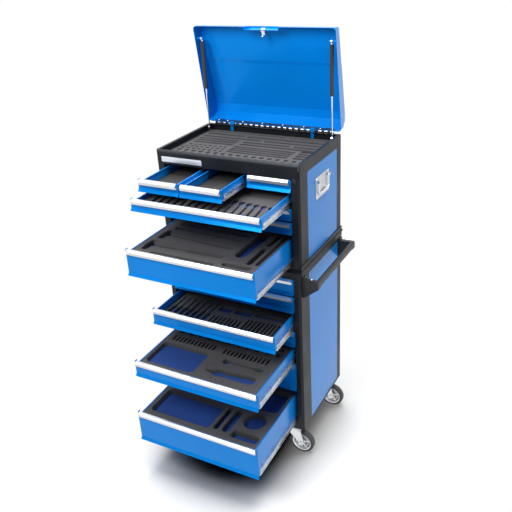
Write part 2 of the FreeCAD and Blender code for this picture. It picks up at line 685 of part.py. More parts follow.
save("push_handle_brackets", group([push_bracket(y) for y in PUSH_Y]))
save("push_handle_grip", push_bar())


# Casters: top plates, forks, wheels and brake pedals
PLATE_Z = CASTER_H - PLATE_T
LEG_IN = WHEEL_W / 2 + 3.0
PEDAL_Z = CROWN_LOW - 7.5


def top_plate(x, y):
    plate = box(x - PLATE_HALF[0], x + PLATE_HALF[0], y - PLATE_HALF[1], y + PLATE_HALF[1], PLATE_Z, CASTER_H)
    upright = [e for e in plate.Edges if abs(e.Vertexes[0].Z - e.Vertexes[1].Z) > 1]
    return plate.makeFillet(6.0, upright)


def swivel_plate(x, y):
    race = Part.makeCone(24.0, 30.0, 7.0, V(x, y, PLATE_Z - 7.0))
    king = rod(x, y, CROWN_LOW - 5.0, (0, 0, 1), KING_R, PLATE_Z - CROWN_LOW + 5.0)
    return join([top_plate(x, y), race, king])


def fork(x, y, trail, top):
    axle_x = x + trail
    axle_z = WHEEL_R
    outside = LEG_IN + LEG_T
    crown_front = x - CROWN_HALF
    shelf_end = x + CROWN_HALF - 3 + trail * 0.35
    crown = box(crown_front, x + CROWN_HALF, y - outside, y + outside, CROWN_LOW, top)
    upright = [e for e in crown.Edges if abs(e.Vertexes[0].Z - e.Vertexes[1].Z) > 1]
    parts = [crown.makeFillet(8.0, upright)]
    parts.append(box(x + 20, shelf_end, y - outside, y + outside, CROWN_LOW, CROWN_LOW + 3))
    parts.append(rod(axle_x, y - outside - 5, axle_z, (0, 1, 0), AXLE_R, 2 * (outside + 5)))
    for y0 in (y - outside, y + LEG_IN):
        parts.append(prism_y([(crown_front, CROWN_LOW + 1), (shelf_end, CROWN_LOW + 1),
                              (axle_x + LEG_FOOT_R, axle_z), (axle_x - LEG_FOOT_R, axle_z),
                              (crown_front, CROWN_LOW - 14)], y0, y0 + LEG_T))
        parts.append(rod(axle_x, y0, axle_z, (0, 1, 0), LEG_FOOT_R, LEG_T))
    parts += [rod(axle_x, y + s * outside, axle_z, (0, s, 0), 9.0, 4.0) for s in (-1, 1)]
    return join(parts)


def swivel_fork(x, y):
    body = fork(x, y, TRAIL, CROWN_TOP)
    pivot = rod(x - PEDAL_BACK, y - LEG_IN - 0.5, PEDAL_Z, (0, 1, 0), PEDAL_PIN, 2 * LEG_IN + 1)
    body = body.cut(rod(x, y, CROWN_LOW - 20, (0, 0, 1), KING_R + RUN, 60))
    return join([body, pivot])


def turned_ring(x, y, z, profile):
    # a ring about the axle, its profile given as radius and distance along the axle
    face = Part.Face(Part.makePolygon([V(x, y + along, z + radius) for radius, along in profile + [profile[0]]]))
    return face.revolve(V(x, y, z), V(0, 1, 0), 360)


def wheel(x, y):
    w = WHEEL_W / 2
    boss = LEG_IN - 0.3
    rim_r = WHEEL_R - TYRE_H
    bore = AXLE_R + RUN
    tyre = [(rim_r, -w + 1), (WHEEL_R - 5, -w), (WHEEL_R, -w + 6), (WHEEL_R, w - 6), (WHEEL_R - 5, w), (rim_r, w - 1)]
    hub = [(bore, -boss), (HUB_R, -boss), (HUB_R, -8), (rim_r - 8, -5), (rim_r - 4, -w + 2), (rim_r, -w + 1),
           (rim_r, w - 1), (rim_r - 4, w - 2), (rim_r - 8, 5), (HUB_R, 8), (HUB_R, boss), (bore, boss)]
    return group([turned_ring(x, y, WHEEL_R, tyre), turned_ring(x, y, WHEEL_R, hub)])


def pedal(x, y):
    px = x - PEDAL_BACK
    pz = PEDAL_Z
    barrel = rod(px, y - PEDAL_HALF, pz, (0, 1, 0), 6.0, 2 * PEDAL_HALF)
    lever = prism_y([(px + 2, pz + 3), (px - 26, pz - 6), (px - 44, pz - 18), (px - 46, pz - 15), (px - 28, pz - 2),
                     (px - 10, pz + 5.6)], y - PEDAL_HALF, y + PEDAL_HALF)
    return join([barrel, lever]).cut(rod(px, y - 20, pz, (0, 1, 0), PEDAL_PIN + RUN, 40))


plates = [swivel_plate(CASTER_X, y) for y in CASTER_Y] + [top_plate(-CASTER_X, y) for y in CASTER_Y]
save("caster_top_plates", group(plates))
save("fixed_caster_forks", group([fork(-CASTER_X, y, 0.0, PLATE_Z) for y in CASTER_Y]))
for label, y in zip(("front", "rear"), CASTER_Y):
    save("swivel_fork_" + label, swivel_fork(CASTER_X, y))
    save("wheel_right_" + label, wheel(CASTER_X + TRAIL, y))
    save("wheel_left_" + label, wheel(-CASTER_X, y))
    save("brake_pedal_" + label, pedal(CASTER_X, y))
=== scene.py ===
import json
import math

import bmesh
import bpy
from mathutils import Matrix, Vector

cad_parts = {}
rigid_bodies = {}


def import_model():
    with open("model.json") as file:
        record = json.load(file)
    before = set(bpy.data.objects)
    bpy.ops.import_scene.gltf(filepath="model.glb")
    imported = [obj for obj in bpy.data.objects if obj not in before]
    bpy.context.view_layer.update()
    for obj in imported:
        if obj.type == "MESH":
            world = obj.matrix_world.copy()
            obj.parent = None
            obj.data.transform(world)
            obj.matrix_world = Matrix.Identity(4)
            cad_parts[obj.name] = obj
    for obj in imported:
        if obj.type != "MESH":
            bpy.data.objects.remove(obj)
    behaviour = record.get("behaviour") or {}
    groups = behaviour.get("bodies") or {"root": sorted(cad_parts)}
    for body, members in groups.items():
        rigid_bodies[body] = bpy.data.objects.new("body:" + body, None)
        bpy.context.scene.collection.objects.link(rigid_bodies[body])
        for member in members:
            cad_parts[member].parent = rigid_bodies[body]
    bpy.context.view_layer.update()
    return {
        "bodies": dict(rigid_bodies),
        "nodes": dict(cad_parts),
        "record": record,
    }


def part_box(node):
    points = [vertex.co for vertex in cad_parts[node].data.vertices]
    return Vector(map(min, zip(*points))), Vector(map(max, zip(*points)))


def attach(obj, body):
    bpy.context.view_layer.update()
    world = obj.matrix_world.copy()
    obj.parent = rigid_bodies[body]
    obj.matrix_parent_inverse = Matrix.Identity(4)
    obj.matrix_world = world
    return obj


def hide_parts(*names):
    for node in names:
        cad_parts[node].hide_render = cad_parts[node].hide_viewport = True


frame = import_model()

# All lengths in metres, in the frame's own axes: X to the right, -Y out of the fronts, Z up.
# Layouts of the inlays are in millimetres from the front left corner of the inlay.

NODES = frame["nodes"]
MM = 0.001
HINGE_Y = 0.245
HINGE_Z = 1.512

# Camera, worked out from the photograph for a 512 x 512 picture
CAMERA_AT = (1.39346, -2.49668, 2.36058)
CAMERA_YAW = 29.08
CAMERA_PITCH = 26.51
CAMERA_ROLL = -3.42
FOCAL_PX = 654.0
PICTURE_PX = 512.0
SENSOR = 36.0
CLIP_NEAR = 0.05
CLIP_FAR = 60.0


def make_camera():
    yaw = math.radians(CAMERA_YAW)
    pitch = math.radians(CAMERA_PITCH)
    roll = math.radians(CAMERA_ROLL)
    ahead = Vector((-math.sin(yaw) * math.cos(pitch), math.cos(yaw) * math.cos(pitch), -math.sin(pitch)))
    level = ahead.cross(Vector((0, 0, 1))).normalized()
    upright = level.cross(ahead)
    right = level * math.cos(roll) + upright * math.sin(roll)
    up = upright * math.cos(roll) - level * math.sin(roll)
    data = bpy.data.cameras.new("camera")
    data.sensor_width = SENSOR
    data.lens = FOCAL_PX / PICTURE_PX * SENSOR
    data.clip_start = CLIP_NEAR
    data.clip_end = CLIP_FAR
    camera = bpy.data.objects.new("camera", data)
    axes = Matrix((right, up, -ahead)).transposed().to_4x4()
    camera.matrix_world = Matrix.Translation(CAMERA_AT) @ axes
    bpy.context.scene.collection.objects.link(camera)
    bpy.context.scene.camera = camera


# Materials
NOISE_DETAIL = 2.0
EDGE_SAMPLES = 4


def new_material(name):
    material = bpy.data.materials.new(name)
    material.use_nodes = True
    shader = material.node_tree.nodes["Principled BSDF"]
    return material, material.node_tree, shader


def node(tree, kind, **settings):
    made = tree.nodes.new(kind)
    for key, value in settings.items():
        setattr(made, key, value)
    return made


def noise(tree, scale, stretch=(1.0, 1.0, 1.0)):
    """Noise in the object's own coordinates, which in this frame are metres."""
    place = node(tree, "ShaderNodeTexCoord")
    mapping = node(tree, "ShaderNodeMapping")
    mapping.inputs["Scale"].default_value = stretch
    made = node(tree, "ShaderNodeTexNoise")
    made.inputs["Scale"].default_value = scale
    made.inputs["Detail"].default_value = NOISE_DETAIL
    tree.links.new(place.outputs["Object"], mapping.inputs["Vector"])
    tree.links.new(mapping.outputs["Vector"], made.inputs["Vector"])
    return made.outputs["Fac"]


def ramp(tree, fac, low, high, start=0.3, stop=0.7):
    """Runs from low to high as fac goes from start to stop."""
    made = node(tree, "ShaderNodeMapRange")
    made.inputs["From Min"].default_value = start
    made.inputs["From Max"].default_value = stop
    made.inputs["To Min"].default_value = low
    made.inputs["To Max"].default_value = high
    tree.links.new(fac, made.inputs["Value"])
    return made.outputs["Result"]


def colours(tree, fac, dark, light):
    made = node(tree, "ShaderNodeMix", data_type="RGBA")
    made.inputs["A"].default_value = (*dark, 1.0)
    made.inputs["B"].default_value = (*light, 1.0)
    tree.links.new(fac, made.inputs["Factor"])
    return made.outputs["Result"]


def bump(tree, shader, height, distance, rounding):
    made = node(tree, "ShaderNodeBump")
    if rounding:
        soft = node(tree, "ShaderNodeBevel", samples=EDGE_SAMPLES)
        soft.inputs["Radius"].default_value = rounding
        tree.links.new(soft.outputs["Normal"], made.inputs["Normal"])
    made.inputs["Strength"].default_value = 1.0
    made.inputs["Distance"].default_value = distance
    tree.links.new(height, made.inputs["Height"])
    tree.links.new(made.outputs["Normal"], shader.inputs["Normal"])


def surface(name, dark, light, roughness, metallic=0.0, ior=1.5, grain=400.0, grain_depth=0.00002,
            stretch=(1, 1, 1), tint=(1, 1, 1), patch=6.0, rounding=0.0):
    """A finish with a slow colour change, a varying sheen, a fine grain and edges rounded by the paint."""
    material, tree, shader = new_material(name)
    slow = noise(tree, patch)
    fine = noise(tree, grain, stretch)
    tree.links.new(colours(tree, ramp(tree, slow, 0.0, 1.0), dark, light), shader.inputs["Base Color"])
    tree.links.new(ramp(tree, slow, roughness[0], roughness[1]), shader.inputs["Roughness"])
    shader.inputs["Metallic"].default_value = metallic
    shader.inputs["IOR"].default_value = ior
    shader.inputs["Specular Tint"].default_value = (*tint, 1.0)
    bump(tree, shader, fine, grain_depth, rounding)
    return material


def enamel(name, dark, light):
    return surface(name, dark, light, (0.15, 0.21), ior=1.9, tint=(0.0, 0.25, 0.5), grain=260.0,
                   grain_depth=0.00001, rounding=0.0016)


MATERIALS = {
    "blue_paint": enamel("blue_enamel", (0.001, 0.185, 0.61), (0.001, 0.20, 0.65)),
    "black_paint": surface("black_powder_coat", (0.005, 0.006, 0.008), (0.008, 0.009, 0.011), (0.42, 0.52),
                           ior=1.6, tint=(0.3, 0.32, 0.36), grain=1300.0, grain_depth=0.00004,
                           rounding=0.0014),
    "aluminium": surface("satin_aluminium", (0.68, 0.70, 0.73), (0.76, 0.78, 0.81), (0.28, 0.36),
                         metallic=1.0, grain=900.0, stretch=(0.02, 1, 1), grain_depth=0.00003),
    "zinc_steel": surface("zinc_plate", (0.66, 0.68, 0.71), (0.78, 0.79, 0.81), (0.24, 0.36), metallic=1.0,
                          patch=30.0),
    "chrome": surface("chrome_plate", (0.80, 0.81, 0.83), (0.86, 0.87, 0.89), (0.06, 0.12), metallic=1.0),
    "lift_plate": surface("pressed_plate", (0.50, 0.52, 0.55), (0.60, 0.62, 0.65), (0.26, 0.34), metallic=1.0,
                          patch=30.0, rounding=0.0012),
    "black_steel": surface("black_steel", (0.013, 0.014, 0.016), (0.02, 0.021, 0.024), (0.3, 0.4)),
    "black_plastic": surface("black_plastic", (0.012, 0.012, 0.013), (0.018, 0.018, 0.02), (0.42, 0.52),
                             grain=1500.0, grain_depth=0.00005),
    "black_rubber": surface("black_rubber", (0.012, 0.012, 0.012), (0.018, 0.018, 0.018), (0.6, 0.7),
                            grain=900.0, grain_depth=0.0001),
    "black_foam": surface("black_foam", (0.052, 0.050, 0.052), (0.066, 0.064, 0.066), (0.85, 0.95),
                          grain=1300.0, grain_depth=0.0002),
    "tyre": surface("grey_rubber", (0.045, 0.046, 0.05), (0.065, 0.066, 0.07), (0.6, 0.75), grain=700.0,
                    grain_depth=0.0001),
}
BLUE_FOAM = surface("blue_foam", (0.004, 0.035, 0.17), (0.006, 0.045, 0.21), (0.85, 0.95), grain=1300.0,
                    grain_depth=0.0002)
RIM_METAL = surface("cast_rim", (0.74, 0.75, 0.77), (0.82, 0.83, 0.85), (0.28, 0.38), metallic=0.9,
                    patch=40.0, grain=500.0)
# A lighter copy of the blue enamel for the lid's inner face: painted light, making up for light that the
# lamps bring there too weakly.
LID_INSIDE_LIT = enamel("blue_enamel_painted_light", (0.001, 0.225, 0.74), (0.001, 0.24, 0.80))
# A darker copy of the rim metal for the disc between hub and rim: painted shade in the wheel's recess.
RIM_PAINTED_SHADE = surface("rim_painted_shade", (0.16, 0.165, 0.175), (0.22, 0.225, 0.235), (0.4, 0.5), metallic=0.7,
                     patch=40.0, grain=500.0)
KNUCKLE_METAL = surface("hinge_knuckles", (0.66, 0.68, 0.71), (0.78, 0.79, 0.81), (0.24, 0.36), metallic=1.0,
                        patch=30.0)
BARE_PLATE = surface("bare_badge", (0.66, 0.69, 0.74), (0.72, 0.75, 0.80), (0.35, 0.45), metallic=0.6,
                     patch=20.0, grain=900.0, stretch=(0.03, 1, 1))
KNUCKLE_BLACK = (0.012, 0.013, 0.015, 1.0)

# Which faces of a node get another material, measured from the node's own box or from the hinge pin
SLIDE_ZONE = 12.9 * MM
FACE_ZONE = 24 * MM
RIM_RADIUS = 48.6 * MM
# radii between which the rim's disc gets painted shade
SHADED_RADII = (15 * MM, 40 * MM)
KNUCKLE_RADIUS = 4.6 * MM
KNUCKLE_STEP = 30 * MM
KNUCKLE_BARE = 14 * MM
TUBE_END = 24 * MM
FACING_INSIDE = -0.8


def band_knuckles(material, step, bright):
    """Leaves bare metal on part of each hinge knuckle, and black paint on the rest."""
    tree = material.node_tree
    shader = tree.nodes["Principled BSDF"]
    place_node = node(tree, "ShaderNodeTexCoord")
    axes = node(tree, "ShaderNodeSeparateXYZ")
    tree.links.new(place_node.outputs["Object"], axes.inputs[0])
    wrapped = node(tree, "ShaderNodeMath", operation="WRAP")
    tree.links.new(axes.outputs["X"], wrapped.inputs[0])
    wrapped.inputs[1].default_value = step
    wrapped.inputs[2].default_value = 0.0
    bare = node(tree, "ShaderNodeMath", operation="LESS_THAN")
    tree.links.new(wrapped.outputs[0], bare.inputs[0])
    bare.inputs[1].default_value = bright
    steel = shader.inputs["Base Color"].links[0].from_socket
    mix = node(tree, "ShaderNodeMix", data_type="RGBA")
    mix.inputs["A"].default_value = KNUCKLE_BLACK
    tree.links.new(bare.outputs[0], mix.inputs["Factor"])
    tree.links.new(steel, mix.inputs["B"])
    tree.links.new(mix.outputs["Result"], shader.inputs["Base Color"])


def paint_faces(name, material, chosen):
    """Gives another material to the chosen faces of a node."""
    mesh = NODES[name].data
    mesh.materials.append(material)
    for face in mesh.polygons:
        if chosen(face):
            face.material_index = len(mesh.materials) - 1


def dress_drawer(name):
    low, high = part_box(name)
    edge = (high.x - low.x) / 2 - SLIDE_ZONE
    middle = (high.x + low.x) / 2
    front = low.y + FACE_ZONE
    paint_faces(name, MATERIALS["zinc_steel"],
                lambda face: abs(face.center.x - middle) > edge and face.center.y > front)


def dress_wheel(name):
    low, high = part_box(name)
    hub = (Vector(low) + Vector(high)) / 2
    inner, outer = SHADED_RADII

    def off_axle(face):
        return math.hypot(face.center.x - hub.x, face.center.z - hub.z)

    paint_faces(name, RIM_METAL, lambda face: off_axle(face) < RIM_RADIUS)
    # painted shade on the rim's disc between the spokes
    paint_faces(name, RIM_PAINTED_SHADE, lambda face: inner < off_axle(face) < outer)


def off_pin(face):
    return math.hypot(face.center.y - HINGE_Y, face.center.z - HINGE_Z)


def dress_nodes():
    slots = {row["node"]: row["material_slot"] for row in frame["record"]["subparts"]}
    for name, piece in NODES.items():
        piece.data.materials.clear()
        piece.data.materials.append(MATERIALS[slots[name]])
    for name in NODES:
        if "_drawer_" in name:
            dress_drawer(name)
        if name.startswith("wheel_"):
            dress_wheel(name)
    # painted light: the lid's inner face gets the lighter copy of the blue enamel
    paint_faces("lid", LID_INSIDE_LIT, lambda face: face.normal.y < FACING_INSIDE)
    NODES["lift_handle_plates"].data.materials[0] = MATERIALS["lift_plate"]
    band_knuckles(KNUCKLE_METAL, KNUCKLE_STEP, KNUCKLE_BARE)
    for name in ("hinge_leaf_lid", "hinge_leaf_fixed"):
        paint_faces(name, KNUCKLE_METAL, lambda face: off_pin(face) < KNUCKLE_RADIUS)
    for side in ("left", "right"):
        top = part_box("strut_tube_" + side)[1].z - TUBE_END
        paint_faces("strut_tube_" + side, MATERIALS["chrome"], lambda face: face.center.z > top)


# Building pieces
def place(at, x_axis, y_axis):
    """A matrix with its origin at a point, its axes along two directions and their cross product."""
    x = Vector(x_axis).normalized()
    y = Vector(y_axis).normalized()
    return Matrix.Translation(at) @ Matrix((x, y, x.cross(y))).transposed().to_4x4()


FACING_FRONT = ((1, 0, 0), (0, 0, 1))
FACING_RIGHT = ((0, 1, 0), (0, 0, 1))
FACING_LEFT = ((0, -1, 0), (0, 0, 1))
FACING_UP = ((1, 0, 0), (0, 1, 0))


def add_prism(mesh, outline, low, high, matrix, edge=0.0):
    """A solid with that outline in the matrix's own XY plane, low to high along its Z, its edges eased."""
    bottom = [mesh.verts.new(matrix @ Vector((x, y, low))) for x, y in outline]
    top = [mesh.verts.new(matrix @ Vector((x, y, high))) for x, y in outline]
    faces = [mesh.faces.new(top), mesh.faces.new(list(reversed(bottom)))]
    for i in range(len(outline)):
        j = (i + 1) % len(outline)
        faces.append(mesh.faces.new((bottom[i], bottom[j], top[j], top[i])))
    if edge:
        sharp = {e for f in faces[:2] for e in f.edges}
        bmesh.ops.bevel(mesh, geom=list(sharp), offset=edge, segments=3, affect="EDGES", profile=0.5)


def add_lathe(mesh, profile, matrix, steps=32):
    """Turns a profile of (radius, height) about the matrix's own Z."""
    rings = []
    for radius, height in profile:
        if radius < 1e-7:
            rings.append([mesh.verts.new(matrix @ Vector((0, 0, height)))])
            continue
        turn = [2 * math.pi * k / steps for k in range(steps)]
        ring = [Vector((radius * math.cos(a), radius * math.sin(a), height)) for a in turn]
        rings.append([mesh.verts.new(matrix @ point) for point in ring])
    for low, high in zip(rings, rings[1:]):
        for k in range(steps):
            n = (k + 1) % steps
            corners = [low[k % len(low)], low[n % len(low)], high[n % len(high)], high[k % len(high)]]
            corners = list(dict.fromkeys(corners))
            if len(corners) > 2:
                mesh.faces.new(corners)


def finish_piece(name, data, material, body, crisp=35.0):
    data.materials.clear()
    data.materials.append(material)
    data.shade_smooth()
    data.set_sharp_from_angle(angle=math.radians(crisp))
    piece = bpy.data.objects.new(name, data)
    bpy.context.scene.collection.objects.link(piece)
    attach(piece, body)
    return piece


def make_piece(name, mesh, material, body, crisp=35.0):
    bmesh.ops.recalc_face_normals(mesh, faces=mesh.faces)
    data = bpy.data.meshes.new(name)
    mesh.to_mesh(data)
    mesh.free()
    return finish_piece(name, data, material, body, crisp)


# Outlines, anticlockwise
def round_box(x0, y0, x1, y1, r, steps=6):
    points = []
    corners = ((x1 - r, y0 + r, -90), (x1 - r, y1 - r, 0), (x0 + r, y1 - r, 90), (x0 + r, y0 + r, 180))
    for cx, cy, start in corners:
        for k in range(steps + 1):
            a = math.radians(start + 90 * k / steps)
            points.append((cx + r * math.cos(a), cy + r * math.sin(a)))
    return points


def disc(x, y, r, steps=28):
    return [(x + r * math.cos(2 * math.pi * k / steps), y + r * math.sin(2 * math.pi * k / steps))
            for k in range(steps)]


def capsule(x0, y0, x1, y1, r, steps=8):
    lean = math.atan2(y1 - y0, x1 - x0)
    points = []
    for cx, cy, start in ((x1, y1, lean - math.pi / 2), (x0, y0, lean + math.pi / 2)):
        for k in range(steps + 1):
            a = start + math.pi * k / steps
            points.append((cx + r * math.cos(a), cy + r * math.sin(a)))
    return points


def long_pocket(profile, x, y, degrees, scale=1.0):
    """The outline of a long pocket: half widths given along its length, mirrored about its axis."""
    half = [(s * scale, w * scale) for s, w in profile]
    whole = [(s, -w) for s, w in half] + [(s, w) for s, w in reversed(half)]
    smooth = []
    for i, point in enumerate(whole):
        before = Vector(whole[i - 1])
        here = Vector(point)
        after = Vector(whole[(i + 1) % len(whole)])
        for other in (before, after):
            away = other - here
            smooth.append(here + away * min(0.3, 3.0 / max(away.length, 3.0)))
    c = math.cos(math.radians(degrees))
    s = math.sin(math.radians(degrees))
    return [(x + p.x * c - p.y * s, y + p.x * s + p.y * c) for p in smooth]


HEADED_POCKET = [(0, 7), (5, 44), (28, 44), (34, 9), (190, 9), (206, 14), (345, 15), (356, 9)]
SLIM_POCKET = [(0, 5), (4, 15), (24, 18), (36, 13), (46, 7), (150, 7), (160, 12), (176, 14), (190, 9)]
SPLAYED_POCKET = [(0, 4), (38, 13), (60, 26), (82, 22), (110, 21), (190, 28), (236, 25), (244, 16)]
HANDLED_POCKET = [(0, 4), (82, 4), (86, 8), (96, 11), (150, 12), (172, 10), (178, 5)]


def graded_holes(count, x0, x1, y, r0, r1):
    """A row of round holes whose size runs from r0 to r1."""
    out = []
    for k in range(count):
        t = k / (count - 1)
        out.append(disc(x0 + (x1 - x0) * t, y, r0 + (r1 - r0) * t))
    return out


def slots_across(count, x0, x1, y0, y1, r):
    return [capsule(x0 + (x1 - x0) * k / (count - 1), y0, x0 + (x1 - x0) * k / (count - 1), y1, r)
            for k in range(count)]


def till_layout():
    holes = graded_holes(15, 34, 656, 46, 17.5, 15) + graded_holes(16, 36, 654, 88, 15, 13)
    holes += graded_holes(17, 36, 654, 124, 13, 11) + graded_holes(8, 34, 236, 156, 10.5, 9)
    holes += graded_holes(8, 38, 232, 186, 9.5, 8.5) + graded_holes(8, 42, 228, 214, 9, 8)
    holes += [capsule(270, 160 + 26 * k, 560, 160 + 26 * k, 9) for k in range(4)]
    holes += [capsule(600, 164 + 30 * k, 646, 164 + 30 * k, 10) for k in range(4)]
    holes += [capsule(40, 256 + 30 * k, 236, 256 + 30 * k, 10) for k in range(3)]
    holes += [capsule(280, 276, 640, 276, 11), capsule(280, 310, 500, 310, 11)]
    holes += [capsule(540, 310, 644, 310, 11), capsule(40, 352, 330, 352, 12)]
    holes += [capsule(370, 350, 646, 350, 11), capsule(40, 396, 220, 396, 13)]
    holes += [capsule(262, 392, 646, 392, 13), capsule(40, 436, 420, 436, 9), capsule(460, 434, 646, 434, 9)]
    return holes


def chest_deep_layout():
    holes = [long_pocket(HEADED_POCKET, 22, 92, 2, 1.08), long_pocket(HEADED_POCKET, 30, 208, -3, 1.05)]
    holes += [capsule(60, 284, 396, 268, 12), capsule(60, 330, 400, 316, 11), capsule(60, 378, 400, 364, 12)]
    holes += [capsule(464, 150, 464, 352, 27), capsule(530, 92, 530, 230, 12)]
    holes += [capsule(530, 270, 530, 380, 12)]
    holes += [capsule(566, 92, 566, 380, 9), round_box(90, 24, 400, 40, 7), round_box(430, 34, 560, 64, 12)]
    return holes


def bench_layout():
    holes = [long_pocket(HANDLED_POCKET, 28 + 31 * k, 214, -90, 1.04) for k in range(7)]
    holes += [round_box(236, 158, 306, 206, 10), round_box(320, 164, 404, 208, 10)]
    holes += [round_box(420, 178, 580, 206, 8)]
    holes += slots_across(8, 248, 388, 34, 120, 5.5) + slots_across(5, 416, 492, 34, 146, 6)
    holes += slots_across(5, 514, 586, 34, 150, 5.5)
    holes += [long_pocket(SPLAYED_POCKET, 40 + 56 * k, 430, -78, 0.72) for k in range(9)]
    return holes


def set_layout():
    holes = [round_box(14, 32, 268, 198, 24)]
    holes += slots_across(12, 40, 262, 226, 262, 5.5) + slots_across(12, 322, 542, 222, 258, 5.5)
    holes += [long_pocket(SLIM_POCKET, 350, 172, 0, 1.06), long_pocket(SPLAYED_POCKET, 306, 82, 2, 1.02)]
    holes += graded_holes(11, 46, 560, 306, 15, 12) + graded_holes(13, 44, 562, 348, 12, 10)
    holes += [capsule(50, 392, 290, 392, 12), capsule(330, 392, 560, 392, 12)]
    return holes


def bottom_layout():
    holes = [round_box(20, 44, 344, 214, 20), capsule(372, 66, 372, 196, 13), capsule(420, 74, 420, 196, 20)]
    holes += [round_box(456, 36, 590, 84, 14), disc(516, 170, 54), round_box(456, 256, 588, 410, 24)]
    holes += [capsule(40, 258, 400, 258, 14), capsule(40, 306, 400, 306, 14)]
    holes += [long_pocket(HEADED_POCKET, 30, 372, 0, 1.0)]
    return holes


def outline_slab(name, outer, holes, thick, edge):
    """A flat slab with rounded edges and holes through it, its top at z = 0."""
    curve = bpy.data.curves.new(name, "CURVE")
    curve.dimensions = "2D"
    curve.fill_mode = "BOTH"
    curve.extrude = thick / 2 - edge
    curve.bevel_depth = edge
    curve.bevel_resolution = 2
    curve.offset = -edge
    for outline in [outer] + holes:
        spline = curve.splines.new("POLY")
        spline.points.add(len(outline) - 1)
        for point, (x, y) in zip(spline.points, outline):
            point.co = (x, y, 0, 1)
        spline.use_cyclic_u = True
    carrier = bpy.data.objects.new(name, curve)
    bpy.context.scene.collection.objects.link(carrier)
    bpy.context.view_layer.update()
    data = bpy.data.meshes.new_from_object(carrier.evaluated_get(bpy.context.evaluated_depsgraph_get()))
    data.name = name
    bpy.data.objects.remove(carrier)
    bpy.data.curves.remove(curve)
    data.transform(Matrix.Translation((0, 0, -thick / 2)))
    return data


INLAY_GAP = 0.8 * MM
INLAY_CORNER = 5 * MM
TOP_EDGE = 1.0 * MM
BASE_EDGE = 0.8 * MM
BASE_LIFT = 0.1 * MM


def inlay(name, low, high, layout, deep, body, replaced=None):
    """A fitted foam inlay of two colours: a black layer with pockets through it, glued on a blue base."""
    width = high[0] - low[0] - 2 * INLAY_GAP
    depth = high[1] - low[1] - 2 * INLAY_GAP
    plan = round_box(0, 0, width, depth, INLAY_CORNER)
    holes = [[(x * MM - INLAY_GAP, y * MM - INLAY_GAP) for x, y in hole] for hole in layout]
    data = outline_slab(name + "_top", plan, holes, deep, TOP_EDGE)
    data.transform(Matrix.Translation((low[0] + INLAY_GAP, low[1] + INLAY_GAP, high[2])))
    top = finish_piece(name + "_top", data, MATERIALS["black_foam"], body)
    mesh = bmesh.new()
    corner = Matrix.Translation((low[0] + INLAY_GAP, low[1] + INLAY_GAP, 0))
    add_prism(mesh, plan, low[2] + BASE_LIFT, high[2] - deep, corner, BASE_EDGE)
    base = make_piece(name + "_base", mesh, BLUE_FOAM, body)
    if replaced:
        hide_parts(replaced)
        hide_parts(replaced)


def make_inlays():
    for node_name, layout, deep, body in (
            ("till_foam", till_layout(), 14 * MM, "cabinets"),
            ("chest_foam_5", chest_deep_layout(), 26 * MM, "chest_drawer_5"),
            ("trolley_foam_3", bench_layout(), 16 * MM, "trolley_drawer_3"),
            ("trolley_foam_5", set_layout(), 22 * MM, "trolley_drawer_5"),
            ("trolley_foam_7", bottom_layout(), 30 * MM, "trolley_drawer_7")):
        low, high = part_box(node_name)
        inlay(node_name.replace("_foam", "_inlay"), low, high, layout, deep, body, node_name)


# Liners laid in the shallow drawers that stand open
BOX_FLOOR = 6.4 * MM
BOX_SIDE = 16 * MM
BOX_FRONT = 14 * MM
BOX_REAR = 3 * MM
LINER_THICK = 17 * MM
LINER_DEEP = 11 * MM
MAT_THICK = 3 * MM
MAT_CORNER = 3 * MM
MAT_EDGE = 0.6 * MM
MAT_RIBS = 30
RIB_HALF = 1.2 * MM
RIB_CORNER = 1 * MM
RIB_EDGE = 0.3 * MM
RIB_SINK = 0.5 * MM
RIB_RISE = 0.8 * MM


def drawer_room(body, thick):
    """Low and high corners of the room on the floor of a drawer box."""
    low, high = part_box(body)
    floor = low[2] + BOX_FLOOR
    front_left = (low[0] + BOX_SIDE, low[1] + BOX_FRONT, floor)
    rear_right = (high[0] - BOX_SIDE, high[1] - BOX_REAR, floor + thick)
    return front_left, rear_right


def rack_layout(width):
    return [long_pocket(SLIM_POCKET, 30 + k * (width - 60) / 15, 226 - 3 * k, -84, 1.02 - 0.02 * k)
            for k in range(16)]


def make_liners():
    low, high = drawer_room("chest_drawer_2", LINER_THICK)
    layout = rack_layout((high[0] - low[0]) / MM)
    inlay("chest_liner_2", low, high, layout, LINER_DEEP, "chest_drawer_2")
    for side in ("left", "middle"):
        body = "chest_drawer_top_" + side
        low, high = drawer_room(body, MAT_THICK)
        mesh = bmesh.new()
        plan = round_box(low[0], low[1], high[0], high[1], MAT_CORNER)
        add_prism(mesh, plan, low[2], high[2], Matrix.Identity(4), MAT_EDGE)
        left = low[0] + MAT_CORNER
        right = high[0] - MAT_CORNER
        for k in range(1, MAT_RIBS):
            y = low[1] + (high[1] - low[1]) * k / MAT_RIBS
            rib = round_box(left, y - RIB_HALF, right, y + RIB_HALF, RIB_CORNER, 3)
            add_prism(mesh, rib, high[2] - RIB_SINK, high[2] + RIB_RISE, Matrix.Identity(4), RIB_EDGE)
        make_piece("ribbed_mat_" + side, mesh, MATERIALS["black_rubber"], body)


# Lid furniture is laid out on the closed lid and turned with it
LID_OPEN = math.radians(81.3)
LID_TURN = (Matrix.Translation((0, HINGE_Y, HINGE_Z)) @ Matrix.Rotation(-LID_OPEN, 4, "X")
            @ Matrix.Translation((0, -HINGE_Y, -HINGE_Z)))

INNER_BACK = 238.5 * MM
STRIP_HALF = 312 * MM
STRIP_LOW = 1512 * MM
STRIP_HIGH = 1534 * MM
STRIP_T = 1.2 * MM
HINGE_SCREW_X = (-302, -250, -165, -58, 52, 160, 244, 302)
LID_LOCK_AT = (4 * MM, -213 * MM, 1524 * MM)

